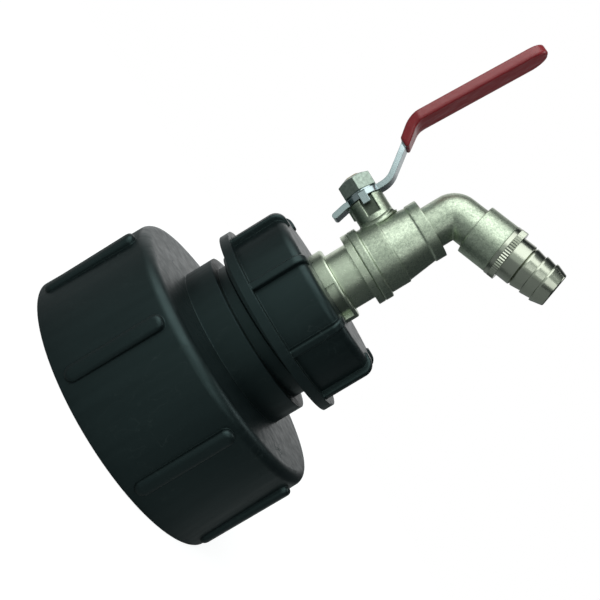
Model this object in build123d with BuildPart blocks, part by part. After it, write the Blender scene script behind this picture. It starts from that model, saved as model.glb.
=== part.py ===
from build123d import *
import math
import os

# A tank tap adapter: a ribbed reducer that goes from a 100 mm coarse thread to a 60 mm one,
# a finned coupling nut, and a ball bibcock with an angled spout, a barbed hose tail and a lever.
# The origin is the centre of the reducer's open rim. +Z runs along the valve, the spout leans
# towards +X and the stem stands out towards -X. The tap is modelled open.

# Reducer cap, millimetres
CAP_RADIUS = 56.4
CAP_DRAFT = 1.7
CAP_HEIGHT = 44.6
CAP_SHOULDER_ROUND = 4.0
CAP_FACE_RISE = 0.8
CAP_RIM_ROUND = 0.8
CAP_MOUTH_RADIUS = 51.6
CAP_MOUTH_LENGTH = 4.6
CAP_THREAD_MAJOR = 50.6
CAP_THREAD_DEPTH = 3.0
CAP_THREAD_PITCH = 8.0
CAP_THREAD_START = 7.2
CAP_THREAD_TURNS = 2.6
CAP_SOCKET_DEPTH = 39.2
RIB_COUNT = 8
RIB_WIDTH = 4.2
RIB_PROUD = 2.3
RIB_START = 2.6
RIB_TOP_GAP = 5.2
RIB_PHASE = 35.0
RIB_ROOT_DEPTH = 1.5
RIB_EDGE_ROUND = 1.5

# Reducer neck and spigot
NECK_RADIUS = 32.0
NECK_END = 56.6
NECK_CHAMFER = 0.9
NECK_ROOT_ROUND = 1.0
SPIGOT_END = 81.0
SPIGOT_BORE_RADIUS = 23.5
FUNNEL_RADIUS = 27.5
FUNNEL_END = 55.0
COUPLING_PITCH = 6.0
COUPLING_MAJOR = 30.0
COUPLING_DEPTH = 2.5
COUPLING_PLAY = 0.45
COUPLING_START_Z = 58.9
COUPLING_START_ANGLE = 60.0
COUPLING_TURNS = 3.2
NUT_RIDGE_START = 2.6
NUT_RIDGE_TURNS = 1.85

# Coarse ridge form, as shares of the pitch at its root and at its crest
RIDGE_ROOT_SHARE = 0.56
RIDGE_CREST_SHARE = 0.27
RIDGE_SINK = 0.4

# Gaskets
CAP_GASKET_THICKNESS = 3.6
CAP_GASKET_INNER = 36.0
NUT_GASKET_THICKNESS = 2.2
GASKET_SIDE_PLAY = 0.4

# Coupling nut
NUT_START = 63.4
NUT_FLANGE_RADIUS = 37.2
NUT_FLANGE_THICKNESS = 3.7
NUT_BODY_RADIUS = 33.3
NUT_FRONT_ROUND = 3.2
NUT_FLANGE_ROUND = 1.5
NUT_FLANGE_ROOT_ROUND = 0.5
NUT_CROWN = 4.0
NUT_BOSS_RADIUS = 14.5
NUT_BOSS_LENGTH = 9.5
FIN_COUNT = 8
FIN_WIDTH = 3.3
FIN_PROUD = 2.5
FIN_PHASE = 31.0
FIN_FOOT_RADIUS = 28.6
FIN_ROOT_DEPTH = 1.0
FIN_OVER_FRONT = 0.8
FIN_FRONT_ROOT_DEPTH = 2.0
FIN_EDGE_ROUND = 0.9

# Inlet connector
CONNECTOR_THREAD_RADIUS = 10.4
CONNECTOR_BORE_RADIUS = 6.6
CONNECTOR_STUB = 1.0
CONNECTOR_ROOT_ROUND = 0.8
CONNECTOR_THREAD_CHAMFER = 0.6
COLLAR_RADIUS = 14.15
COLLAR_LENGTH = 5.0
COLLAR_LIP = 1.4
COLLAR_ROUND = 0.9
WRENCH_POCKET_DEPTH = 1.9
WRENCH_POCKET_SPAN = 68.0
WRENCH_POCKET_ANGLE = -50.0
CONNECTOR_NECK_RADIUS = 11.25
CONNECTOR_NECK_LENGTH = 8.4
SHOULDER_RADIUS = 14.3
SHOULDER_LENGTH = 2.6
SHOULDER_CHAMFER = 1.2
SOCKET_THREAD_RADIUS = 11.2
O_RING_SEAT_RADIUS = 12.6
O_RING_SEAT_DEPTH = 1.3
FIXED_THREAD_PLAY = 0.03

# Valve body
BAND_RADIUS = 14.35
BAND_LENGTH = 3.4
BARREL_RADIUS = 13.05
BARREL_LENGTH = 8.0
WAIST_RADIUS = 12.55
WAIST_END_RADIUS = 11.2
WAIST_LENGTH = 11.4
END_RING_RADIUS = 11.6
END_RING_LENGTH = 4.6
BODY_STEP_CHAMFER = 0.4
END_RING_ROUND = 1.2
SPOUT_TUBE_RADIUS = 8.05
SPOUT_BORE_RADIUS = 5.6
SPOUT_ANGLE = 70.5
BEND_HEIGHT = 140.9
BEND_RADIUS = 3.2
SPOUT_COLLAR_RADIUS = 9.95
SPOUT_COLLAR_START = 9.6
SPOUT_END = 21.4

# Ball, seats and stem
BALL_RADIUS = 9.0
BALL_BORE_RADIUS = 5.8
BALL_PLAY = 0.06
CHAMBER_PLAY = 1.2
SEAT_OUTER_RADIUS = 8.7
SEAT_BORE_RADIUS = 6.2
SEAT_DEPTH = 4.4
SEAT_LIP_DISTANCE = 4.6
SEAT_STANDS_OUT = 0.4
SEAT_PLAY = 0.05
STEM_HEIGHT = 115.8
STEM_RADIUS = 4.0
STEM_PLAY = 0.05
STEM_FLANGE_RADIUS = 5.0
STEM_FLANGE_START = 9.4
STEM_FLANGE_THICKNESS = 1.4
STEM_FLANGE_PLAY = 0.15
STEM_TIP_CHAMFER = 0.7
THRUST_WASHER_THICKNESS = 0.9
TANG_THICKNESS = 2.9
TANG_LENGTH = 6.6
TANG_PLAY = 0.1
TANG_END = 7.1
TANG_END_PLAY = 0.2
TANG_SLOT_OPENING = 12.0
STEM_FLATS = 6.0
STEM_TOP = 31.6
O_RING_THICKNESS = 1.6
O_RING_GROOVE_DEPTH = 1.2
O_RING_PLAY = 0.05
O_RING_ROUND = 0.3
O_RING_LOWER = 13.4
O_RING_UPPER = 17.2

# Stem boss on the body
BOSS_RADIUS = 6.9
BOSS_TOP = 21.3
BOSS_POCKET_WIDTH = 5.1
BOSS_POCKET_BOTTOM = 14.2
BOSS_POCKET_DEPTH = 1.3
BOSS_POCKET_OFFSET = 0.3
STOP_RADIUS = 7.8
STOP_HEIGHT = 4.0
STOP_GAP = 0.3

# Lever
LEVER_THICKNESS = 2.2
LEVER_GAP = 0.3
EYE_WIDTH = 14.4
LEVER_NECK_WIDTH = 8.0
HANDLE_WIDTH = 13.4
LEVER_TAIL = 12.5
LEVER_TAIL_DROP = 1.0
FIRST_BEND_S = 11.4
SECOND_BEND_S = 30.1
SECOND_BEND_H = 36.8
LEVER_TIP_S = 83.1
LEVER_TIP_H = 34.0
FIRST_BEND_RADIUS = 9.0
SECOND_BEND_RADIUS = 9.0
TAIL_BEND_RADIUS = 6.0
TAIL_BEND_S = 7.6
NECK_WIDEN_START = 22.0
NECK_WIDEN_END = 32.0
TIP_CORNER_ROUND = 5.7
LUG_WIDTH = 3.0
LUG_THICKNESS = 1.6
LUG_DROP = 3.0
LUG_SIDE_GAP = 0.35
LUG_BEND_ROUND = 1.28
LEVER_EYE_PLAY = 0.08
GRIP_WALL = 0.85
GRIP_START_S = 22.6
GRIP_EDGE_ROUND = 0.8
WASHER_RADIUS = 6.2
WASHER_THICKNESS = 0.8
WASHER_HOLE_PLAY = 0.15
WASHER_SPLIT = 1.0
HEX_NUT_FLATS = 12.7
HEX_NUT_HEIGHT = 6.2
HEX_NUT_CHAMFER = 1.1

# Hose tail
KNURL_RADIUS = 10.2
KNURL_DEPTH = 0.35
KNURL_COUNT = 60
FLANGE_BAND = 1.6
KNURL_LENGTH = 2.4
TAIL_PLAIN_RADIUS = 8.3
TAIL_PLAIN_LENGTH = 5.8
BARB_COUNT = 3
BARB_PITCH = 4.3
BARB_CREST_RADIUS = 8.05
BARB_VALLEY_RADIUS = 7.45
BARB_RISE = 0.15
BARB_LAND = 0.6
TAIL_TIP_LENGTH = 1.0
TAIL_TIP_RADIUS = 6.7
TAIL_TIP_ROUND = 0.8
TAIL_SPIGOT_CHAMFER = 0.5
TAIL_BORE_RADIUS = 4.75
TAIL_SPIGOT_RADIUS = 7.6
TAIL_SPIGOT_LENGTH = 8.4
TAIL_THREAD_PLAY = 0.05
TAIL_WASHER_THICKNESS = 1.4
TAIL_WASHER_PLAY = 0.15

# Places along the valve that follow from the sizes above
cap_wall_slope = math.tan(math.radians(CAP_DRAFT))
shoulder_radius = CAP_RADIUS - CAP_HEIGHT * cap_wall_slope
nut_front = SPIGOT_END + NUT_GASKET_THICKNESS + NUT_CROWN
collar_end = nut_front + COLLAR_LENGTH
shoulder_start = collar_end + CONNECTOR_NECK_LENGTH
body_start = shoulder_start + SHOULDER_LENGTH
band_end = body_start + BAND_LENGTH
barrel_end = band_end + BARREL_LENGTH
waist_end = barrel_end + WAIST_LENGTH
end_ring_end = waist_end + END_RING_LENGTH
chamber_radius = BALL_RADIUS + CHAMBER_PLAY
outlet_seat_end = STEM_HEIGHT + SEAT_LIP_DISTANCE + SEAT_DEPTH
inlet_seat_start = 2 * STEM_HEIGHT - outlet_seat_end
spout_plane = Plane(
    origin=(0, 0, BEND_HEIGHT),
    x_dir=(0, 1, 0),
    z_dir=(math.sin(math.radians(SPOUT_ANGLE)), 0, math.cos(math.radians(SPOUT_ANGLE))),
)

os.makedirs("parts", exist_ok=True)


def save(piece, name):
    piece.part.label = name
    export_step(piece.part, f"parts/{name}.step")
    print(name, round(piece.part.volume), "mm3")


def stem_plane(height):
    """The plane across the stem at this height, with its X along +Z and its normal along -X."""
    return Plane(origin=(-height, 0, STEM_HEIGHT), x_dir=(0, 0, 1), z_dir=(-1, 0, 0))


def helical_ridge(wall_radius, crest_radius, pitch, turns):
    """One coarse thread ridge that stands on a wall and starts at angle 0, height 0."""
    inward = 1 if wall_radius > crest_radius else -1
    root = pitch * RIDGE_ROOT_SHARE / 2
    crest = pitch * RIDGE_CREST_SHARE / 2
    foot_radius = wall_radius + inward * RIDGE_SINK
    with BuildPart() as ridge:
        with BuildLine():
            path = Helix(pitch=pitch, height=pitch * turns, radius=wall_radius)
        with BuildSketch(Plane(origin=path @ 0, x_dir=(1, 0, 0), z_dir=path % 0)):
            with BuildLine():
                Polyline(
                    (foot_radius - wall_radius, -root),
                    (foot_radius - wall_radius, root),
                    (crest_radius - wall_radius, crest),
                    (crest_radius - wall_radius, -crest),
                    close=True,
                )
            make_face()
        sweep(path=path, is_frenet=True)
    return ridge.part


# Reducer: revolved wall, ribs round the cap, one ridge in the cap and one on the spigot
cap_ridge = helical_ridge(
    CAP_THREAD_MAJOR, CAP_THREAD_MAJOR - CAP_THREAD_DEPTH, CAP_THREAD_PITCH, CAP_THREAD_TURNS
)
spigot_root = COUPLING_MAJOR - COUPLING_DEPTH
spigot_ridge = helical_ridge(spigot_root, COUPLING_MAJOR, COUPLING_PITCH, COUPLING_TURNS)
cap_ceiling = CAP_SOCKET_DEPTH
neck_foot = CAP_HEIGHT + CAP_FACE_RISE

with BuildPart() as reducer:
    with BuildSketch(Plane.XZ):
        with BuildLine():
            Polyline(
                (CAP_MOUTH_RADIUS, 0),
                (CAP_RADIUS, 0),
                (shoulder_radius, CAP_HEIGHT),
                (NECK_RADIUS, neck_foot),
                (NECK_RADIUS, NECK_END),
                (spigot_root, NECK_END),
                (spigot_root, SPIGOT_END),
                (SPIGOT_BORE_RADIUS, SPIGOT_END),
                (SPIGOT_BORE_RADIUS, FUNNEL_END),
                (FUNNEL_RADIUS, cap_ceiling),
                (CAP_THREAD_MAJOR, cap_ceiling),
                (CAP_THREAD_MAJOR, CAP_MOUTH_LENGTH),
                (CAP_MOUTH_RADIUS, CAP_MOUTH_LENGTH),
                close=True,
            )
        make_face()
        corners = vertices()
        shoulder = corners.sort_by_distance((shoulder_radius, CAP_HEIGHT))[0]
        rim_edge = corners.sort_by_distance((CAP_RADIUS, 0))[0]
        neck_root = corners.sort_by_distance((NECK_RADIUS, neck_foot))[0]
        neck_lip = corners.sort_by_distance((NECK_RADIUS, NECK_END))[0]
        fillet(shoulder, CAP_SHOULDER_ROUND)
        fillet(rim_edge, CAP_RIM_ROUND)
        fillet(neck_root, NECK_ROOT_ROUND)
        chamfer(neck_lip, NECK_CHAMFER)
    revolve(axis=Axis.Z)
    rib_length = CAP_HEIGHT - RIB_TOP_GAP - RIB_START
    rib_middle = RIB_START + rib_length / 2
    rib_wall = CAP_RADIUS - rib_middle * cap_wall_slope
    with BuildPart(mode=Mode.PRIVATE) as rib:
        rib_foot = Plane(origin=(rib_wall - RIB_ROOT_DEPTH, 0, rib_middle), x_dir=(0, 0, 1), z_dir=(1, 0, 0))
        with BuildSketch(rib_foot):
            SlotOverall(rib_length, RIB_WIDTH)
        extrude(amount=RIB_ROOT_DEPTH + RIB_PROUD)
        fillet(rib.faces().sort_by(Axis.X)[-1].edges(), RIB_EDGE_ROUND)
    # Each rib leans by half the cap's draft, so that its foot stays in the wall
    for turn in range(RIB_COUNT):
        add(rib.part.rotate(Axis.Y, -CAP_DRAFT / 2).rotate(Axis.Z, RIB_PHASE + turn * 360 / RIB_COUNT))
    add(cap_ridge.moved(Location((0, 0, CAP_THREAD_START), (0, 0, 0))))
    add(spigot_ridge.moved(Location((0, 0, COUPLING_START_Z), (0, 0, COUPLING_START_ANGLE))))
save(reducer, "reducer")

with BuildPart() as cap_gasket:
    with BuildSketch(Plane.XY.offset(cap_ceiling - CAP_GASKET_THICKNESS)):
        Circle(CAP_THREAD_MAJOR - CAP_THREAD_DEPTH - GASKET_SIDE_PLAY)
        Circle(CAP_GASKET_INNER, mode=Mode.SUBTRACT)
    extrude(amount=CAP_GASKET_THICKNESS)
save(cap_gasket, "cap_gasket")

# Coupling nut: flange, body with a rounded front, fins that wrap over the front, inner boss
nut_root = COUPLING_MAJOR + COUPLING_PLAY
nut_crest = spigot_root + COUPLING_PLAY
nut_ceiling = SPIGOT_END + NUT_GASKET_THICKNESS
flange_end = NUT_START + NUT_FLANGE_THICKNESS
nut_ridge_start = NUT_START + NUT_RIDGE_START
# Half a pitch off the spigot's ridge at the same height
nut_ridge_angle = COUPLING_START_ANGLE + 360 * (nut_ridge_start - COUPLING_START_Z) / COUPLING_PITCH + 180
nut_ridge = helical_ridge(nut_root, nut_crest, COUPLING_PITCH, NUT_RIDGE_TURNS)

with BuildPart() as coupling_nut:
    with BuildSketch(Plane.XZ):
        with BuildLine():
            Polyline(
                (nut_root, NUT_START),
                (NUT_FLANGE_RADIUS, NUT_START),
                (NUT_FLANGE_RADIUS, flange_end),
                (NUT_BODY_RADIUS, flange_end),
                (NUT_BODY_RADIUS, nut_front),
                (CONNECTOR_THREAD_RADIUS + FIXED_THREAD_PLAY, nut_front),
                (CONNECTOR_THREAD_RADIUS + FIXED_THREAD_PLAY, nut_ceiling - NUT_BOSS_LENGTH),
                (NUT_BOSS_RADIUS, nut_ceiling - NUT_BOSS_LENGTH),
                (NUT_BOSS_RADIUS, nut_ceiling),
                (nut_root, nut_ceiling),
                close=True,
            )
        make_face()
        corners = vertices()
        fillet(corners.sort_by_distance((NUT_BODY_RADIUS, nut_front))[0], NUT_FRONT_ROUND)
        fillet(corners.sort_by_distance((NUT_FLANGE_RADIUS, flange_end))[0], NUT_FLANGE_ROUND)
        fillet(corners.sort_by_distance((NUT_FLANGE_RADIUS, NUT_START))[0], NUT_FLANGE_ROUND)
        fillet(corners.sort_by_distance((NUT_BODY_RADIUS, flange_end))[0], NUT_FLANGE_ROOT_ROUND)
    revolve(axis=Axis.Z)
    fin_top = NUT_BODY_RADIUS + FIN_PROUD
    fin_root = NUT_BODY_RADIUS - FIN_ROOT_DEPTH
    fin_foot = flange_end - FIN_ROOT_DEPTH
    fin_end = nut_front + FIN_OVER_FRONT
    with BuildPart(mode=Mode.PRIVATE) as fin:
        with BuildSketch(Plane.XZ):
            with BuildLine():
                Polyline(
                    (fin_root, fin_foot),
                    (fin_top, fin_foot),
                    (fin_top, fin_end),
                    (FIN_FOOT_RADIUS, fin_end),
                    (FIN_FOOT_RADIUS, nut_front - FIN_FRONT_ROOT_DEPTH),
                    (fin_root, nut_ceiling + FIN_OVER_FRONT / 4),
                    close=True,
                )
            make_face()
            fillet(vertices().sort_by_distance((fin_top, fin_end))[0], NUT_FRONT_ROUND + FIN_PROUD / 2)
            fillet(vertices().sort_by_distance((FIN_FOOT_RADIUS, fin_end))[0], FIN_OVER_FRONT * 0.9)
        extrude(amount=FIN_WIDTH / 2, both=True)
        top_edges = [e for e in fin.edges().filter_by(Axis.Z) if e.center().X > fin_top - 0.01]
        fillet(top_edges, FIN_EDGE_ROUND)
    for turn in range(FIN_COUNT):
        add(fin.part.rotate(Axis.Z, FIN_PHASE + turn * 360 / FIN_COUNT))
    add(nut_ridge.moved(Location((0, 0, nut_ridge_start), (0, 0, nut_ridge_angle))))
save(coupling_nut, "coupling_nut")

with BuildPart() as nut_gasket:
    with BuildSketch(Plane.XY.offset(SPIGOT_END)):
        Circle(nut_crest - GASKET_SIDE_PLAY)
        Circle(NUT_BOSS_RADIUS + GASKET_SIDE_PLAY, mode=Mode.SUBTRACT)
    extrude(amount=NUT_GASKET_THICKNESS)
save(nut_gasket, "nut_gasket")

# Inlet connector: male thread, wrench collar, neck, shoulder and a sleeve that holds the seat
seat_pocket = SEAT_OUTER_RADIUS + SEAT_PLAY
seat_mouth = SEAT_LIP_DISTANCE + SEAT_STANDS_OUT
sleeve_end = STEM_HEIGHT - seat_mouth
connector_start = nut_ceiling - NUT_BOSS_LENGTH - CONNECTOR_STUB

with BuildPart() as inlet_connector:
    with BuildSketch(Plane.XZ):
        with BuildLine():
            Polyline(
                (CONNECTOR_BORE_RADIUS, connector_start),
                (CONNECTOR_THREAD_RADIUS, connector_start),
                (CONNECTOR_THREAD_RADIUS, nut_front),
                (COLLAR_RADIUS, nut_front),
                (COLLAR_RADIUS, collar_end),
                (CONNECTOR_NECK_RADIUS, collar_end),
                (CONNECTOR_NECK_RADIUS, shoulder_start),
                (SHOULDER_RADIUS, shoulder_start),
                (SHOULDER_RADIUS, body_start),
                (SOCKET_THREAD_RADIUS, body_start),
                (SOCKET_THREAD_RADIUS, sleeve_end),
                (seat_pocket, sleeve_end),
                (seat_pocket, inlet_seat_start),
                (CONNECTOR_BORE_RADIUS, inlet_seat_start),
                close=True,
            )
        make_face()
        corners = vertices()
        fillet(corners.sort_by_distance((COLLAR_RADIUS, collar_end))[0], COLLAR_ROUND)
        fillet(corners.sort_by_distance((CONNECTOR_NECK_RADIUS, collar_end))[0], CONNECTOR_ROOT_ROUND)
        fillet(corners.sort_by_distance((CONNECTOR_NECK_RADIUS, shoulder_start))[0], CONNECTOR_ROOT_ROUND)
        chamfer(corners.sort_by_distance((SHOULDER_RADIUS, shoulder_start))[0], SHOULDER_CHAMFER)
        chamfer(corners.sort_by_distance((CONNECTOR_THREAD_RADIUS, connector_start))[0], CONNECTOR_THREAD_CHAMFER)
    revolve(axis=Axis.Z)
    # Two wrench pockets in the collar's side, open towards the nut
    pocket_floor = COLLAR_RADIUS - WRENCH_POCKET_DEPTH
    pocket_outside = COLLAR_RADIUS + WRENCH_POCKET_DEPTH
    for side in (0, 180):
        with BuildSketch(Plane.XY.offset(nut_front)):
            with BuildLine():
                first = WRENCH_POCKET_ANGLE + side - WRENCH_POCKET_SPAN / 2
                CenterArc((0, 0), pocket_floor, first, WRENCH_POCKET_SPAN)
                CenterArc((0, 0), pocket_outside, first, WRENCH_POCKET_SPAN)
                for edge_angle in (first, first + WRENCH_POCKET_SPAN):
                    inner = Vector(pocket_floor, 0).rotate(Axis.Z, edge_angle)
                    outer = Vector(pocket_outside, 0).rotate(Axis.Z, edge_angle)
                    Line(inner, outer)
            make_face()
        extrude(amount=COLLAR_LENGTH - COLLAR_LIP, mode=Mode.SUBTRACT)
save(inlet_connector, "inlet_connector")

with BuildPart() as ball:
    Sphere(BALL_RADIUS)
    Cylinder(BALL_BORE_RADIUS, 4 * BALL_RADIUS, mode=Mode.SUBTRACT)
    with Locations((-(TANG_END - TANG_END_PLAY + BALL_RADIUS), 0, 0)):
        slot_width = TANG_THICKNESS + 2 * TANG_PLAY
        Box(2 * BALL_RADIUS, TANG_LENGTH + TANG_SLOT_OPENING, slot_width, mode=Mode.SUBTRACT)
ball.part = ball.part.moved(Location((0, 0, STEM_HEIGHT)))
save(ball, "ball")

for seat_name, direction in (("inlet_seat", -1), ("outlet_seat", 1)):
    with BuildPart() as seat:
        with BuildSketch(Plane.XZ):
            with Locations((0, SEAT_LIP_DISTANCE + SEAT_DEPTH / 2)):
                Rectangle(2 * SEAT_OUTER_RADIUS, SEAT_DEPTH)
                Rectangle(2 * SEAT_BORE_RADIUS, SEAT_DEPTH, mode=Mode.SUBTRACT)
            with Locations((-SEAT_OUTER_RADIUS, STEM_HEIGHT)):
                Rectangle(2 * SEAT_OUTER_RADIUS, 4 * STEM_HEIGHT, mode=Mode.SUBTRACT)
            Circle(BALL_RADIUS + BALL_PLAY, mode=Mode.SUBTRACT)
        revolve(axis=Axis.Z)
    if direction < 0:
        seat.part = seat.part.mirror(Plane.XY)
    seat.part = seat.part.moved(Location((0, 0, STEM_HEIGHT)))
    save(seat, seat_name)

# Stem, made along its own axis with its height measured from the valve's centreline
stem_rise = STEM_FLANGE_START + STEM_FLANGE_THICKNESS
with BuildPart() as stem:
    with BuildSketch(stem_plane(STEM_FLANGE_START)):
        Circle(STEM_FLANGE_RADIUS)
    extrude(amount=STEM_FLANGE_THICKNESS)
    with BuildSketch(stem_plane(stem_rise)):
        Circle(STEM_RADIUS)
    extrude(amount=STEM_TOP - stem_rise)
    chamfer(stem.edges().sort_by(Axis.X)[0], STEM_TIP_CHAMFER)
    for groove in (O_RING_LOWER, O_RING_UPPER):
        with BuildSketch(stem_plane(groove)):
            Circle(STEM_RADIUS + 1)
            Circle(STEM_RADIUS - O_RING_GROOVE_DEPTH, mode=Mode.SUBTRACT)
        extrude(amount=O_RING_THICKNESS + 2 * O_RING_PLAY, mode=Mode.SUBTRACT)
    # Two flats that the lever's eye fits over
    with BuildSketch(stem_plane(BOSS_TOP + LEVER_GAP / 2)):
        with GridLocations(0, STEM_FLATS + STEM_RADIUS, 1, 2):
            Rectangle(4 * STEM_RADIUS, STEM_RADIUS)
    extrude(amount=STEM_TOP, mode=Mode.SUBTRACT)
    with BuildSketch(stem_plane(TANG_END)):
        Rectangle(TANG_THICKNESS, TANG_LENGTH)
    extrude(amount=STEM_FLANGE_START - TANG_END)
save(stem, "stem")

for ring_name, groove in (("stem_o_ring_lower", O_RING_LOWER), ("stem_o_ring_upper", O_RING_UPPER)):
    with BuildPart() as ring:
        with BuildSketch(stem_plane(groove + O_RING_PLAY)):
            Circle(STEM_RADIUS + STEM_PLAY / 2)
            Circle(STEM_RADIUS - O_RING_GROOVE_DEPTH + STEM_PLAY / 2, mode=Mode.SUBTRACT)
        extrude(amount=O_RING_THICKNESS)
        fillet(ring.edges(), O_RING_ROUND)
    save(ring, ring_name)

with BuildPart() as thrust_washer:
    with BuildSketch(stem_plane(stem_rise)):
        Circle(STEM_FLANGE_RADIUS)
        Circle(STEM_RADIUS + 2 * STEM_PLAY, mode=Mode.SUBTRACT)
    extrude(amount=THRUST_WASHER_THICKNESS)
save(thrust_washer, "thrust_washer")

# Valve body: one casting with the socket, the barrel, the stem boss, the elbow and the spout
bend_reach = BEND_RADIUS * math.tan(math.radians(SPOUT_ANGLE / 2))
stem_seat = stem_rise + THRUST_WASHER_THICKNESS
bend_axis = Axis((BEND_RADIUS, 0, BEND_HEIGHT - bend_reach), (0, 1, 0))

with BuildPart() as valve_body:
    with BuildSketch(Plane.XZ):
        with BuildLine():
            Polyline(
                (0, body_start),
                (BAND_RADIUS, body_start),
                (BAND_RADIUS, band_end),
                (BARREL_RADIUS, band_end + BODY_STEP_CHAMFER),
                (BARREL_RADIUS, barrel_end),
                (WAIST_RADIUS, barrel_end + BODY_STEP_CHAMFER),
                (WAIST_END_RADIUS, waist_end),
                (END_RING_RADIUS, waist_end + BODY_STEP_CHAMFER),
                (END_RING_RADIUS, end_ring_end),
                (SPOUT_TUBE_RADIUS, end_ring_end),
                (SPOUT_TUBE_RADIUS, BEND_HEIGHT - bend_reach),
                (0, BEND_HEIGHT - bend_reach),
                close=True,
            )
        make_face()
        corners = vertices()
        chamfer(corners.sort_by_distance((BAND_RADIUS, body_start))[0], BODY_STEP_CHAMFER)
        fillet(corners.sort_by_distance((BAND_RADIUS, band_end))[0], BODY_STEP_CHAMFER)
        fillet(corners.sort_by_distance((END_RING_RADIUS, end_ring_end))[0], END_RING_ROUND)
        fillet(corners.sort_by_distance((SPOUT_TUBE_RADIUS, end_ring_end))[0], END_RING_ROUND)
    revolve(axis=Axis.Z)
    # The elbow's outer half, turned about an axis that lies inside the tube
    with BuildSketch(Plane.XY.offset(BEND_HEIGHT - bend_reach)):
        Circle(SPOUT_TUBE_RADIUS)
        with Locations((BEND_RADIUS + SPOUT_TUBE_RADIUS, 0)):
            Rectangle(2 * SPOUT_TUBE_RADIUS, 4 * SPOUT_TUBE_RADIUS, mode=Mode.SUBTRACT)
    revolve(axis=bend_axis, revolution_arc=SPOUT_ANGLE)
    with BuildSketch(spout_plane.offset(bend_reach)):
        Circle(SPOUT_TUBE_RADIUS)
    extrude(amount=SPOUT_END - bend_reach)
    with BuildSketch(spout_plane.offset(SPOUT_COLLAR_START)):
        Circle(SPOUT_COLLAR_RADIUS)
    extrude(amount=SPOUT_END - SPOUT_COLLAR_START)
    # Stem boss with its cast stop on the far side
    with BuildSketch(stem_plane(chamber_radius)):
        Circle(BOSS_RADIUS)
    extrude(amount=BOSS_TOP - chamber_radius)
    lug_half_angle = math.degrees(math.atan2(LUG_WIDTH / 2 + STOP_GAP, BOSS_RADIUS + LUG_SIDE_GAP))
    with BuildSketch(stem_plane(BOSS_TOP - STOP_HEIGHT)):
        with BuildLine():
            stop_arc = CenterArc((0, 0), STOP_RADIUS, 90 + lug_half_angle, 90 - 2 * lug_half_angle)
            Line(stop_arc @ 0, (0, 0))
            Line((0, 0), stop_arc @ 1)
        make_face()
    extrude(amount=STOP_HEIGHT)
    # Blind machined pocket in the boss, behind the near lug
    pocket_middle = (BOSS_POCKET_BOTTOM + 2 * BOSS_TOP) / 2
    pocket_place = (-pocket_middle, -2 * BOSS_RADIUS, STEM_HEIGHT + BOSS_POCKET_OFFSET)
    with BuildSketch(Plane(origin=pocket_place, x_dir=(1, 0, 0), z_dir=(0, 1, 0))):
        Rectangle(2 * BOSS_TOP - BOSS_POCKET_BOTTOM, BOSS_POCKET_WIDTH)
    extrude(amount=BOSS_RADIUS + BOSS_POCKET_DEPTH, mode=Mode.SUBTRACT)
    # Socket, ball chamber, seat pocket and waterway
    with BuildSketch(Plane.XZ):
        with BuildLine():
            Polyline(
                (0, body_start),
                (O_RING_SEAT_RADIUS, body_start),
                (O_RING_SEAT_RADIUS, body_start + O_RING_SEAT_DEPTH),
                (SOCKET_THREAD_RADIUS + FIXED_THREAD_PLAY, body_start + O_RING_SEAT_DEPTH),
                (SOCKET_THREAD_RADIUS + FIXED_THREAD_PLAY, sleeve_end + SEAT_STANDS_OUT),
                (chamber_radius, sleeve_end + SEAT_STANDS_OUT),
                (chamber_radius, STEM_HEIGHT + seat_mouth),
                (seat_pocket, STEM_HEIGHT + seat_mouth),
                (seat_pocket, outlet_seat_end),
                (SPOUT_BORE_RADIUS, outlet_seat_end),
                (SPOUT_BORE_RADIUS, BEND_HEIGHT),
                (0, BEND_HEIGHT),
                close=True,
            )
        make_face()
    revolve(axis=Axis.Z, mode=Mode.SUBTRACT)
    with BuildSketch(stem_plane(TANG_END)):
        Circle(STEM_FLANGE_RADIUS + STEM_FLANGE_PLAY)
    extrude(amount=stem_seat - TANG_END, mode=Mode.SUBTRACT)
    with BuildSketch(stem_plane(TANG_END)):
        Circle(STEM_RADIUS + STEM_PLAY)
    extrude(amount=BOSS_TOP, mode=Mode.SUBTRACT)
    with Locations((0, 0, BEND_HEIGHT)):
        Sphere(SPOUT_BORE_RADIUS, mode=Mode.SUBTRACT)
    with BuildSketch(spout_plane):
        Circle(SPOUT_BORE_RADIUS)
    extrude(amount=SPOUT_END, mode=Mode.SUBTRACT)
    tail_socket_start = SPOUT_END - TAIL_SPIGOT_LENGTH - TAIL_WASHER_THICKNESS
    with BuildSketch(spout_plane.offset(tail_socket_start)):
        Circle(TAIL_SPIGOT_RADIUS + TAIL_THREAD_PLAY)
    extrude(amount=SPOUT_END - tail_socket_start, mode=Mode.SUBTRACT)
save(valve_body, "valve_body")

# Lever: a strip that is bent twice, with its tail turned down and two lugs at the eye
lever_low = BOSS_TOP + LEVER_GAP
lever_mid = lever_low + LEVER_THICKNESS / 2


def strip_outline(extra, start_s, tip_extra):
    """The strip's outline seen along the stem, with x along the valve and y across it."""
    half_neck = LEVER_NECK_WIDTH / 2 + extra
    half_handle = HANDLE_WIDTH / 2 + extra
    tip = LEVER_TIP_S + tip_extra
    with BuildSketch(stem_plane(0)) as outline:
        with BuildLine():
            Polyline(
                (start_s, -half_neck),
                (NECK_WIDEN_START, -half_neck),
                (NECK_WIDEN_END, -half_handle),
                (tip, -half_handle),
                (tip, half_handle),
                (NECK_WIDEN_END, half_handle),
                (NECK_WIDEN_START, half_neck),
                (start_s, half_neck),
                close=True,
            )
        make_face()
        fillet(outline.vertices().sort_by(Axis.X)[-2:], TIP_CORNER_ROUND + extra)
        if extra == 0:
            Circle(EYE_WIDTH / 2)
    return outline.sketch


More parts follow.
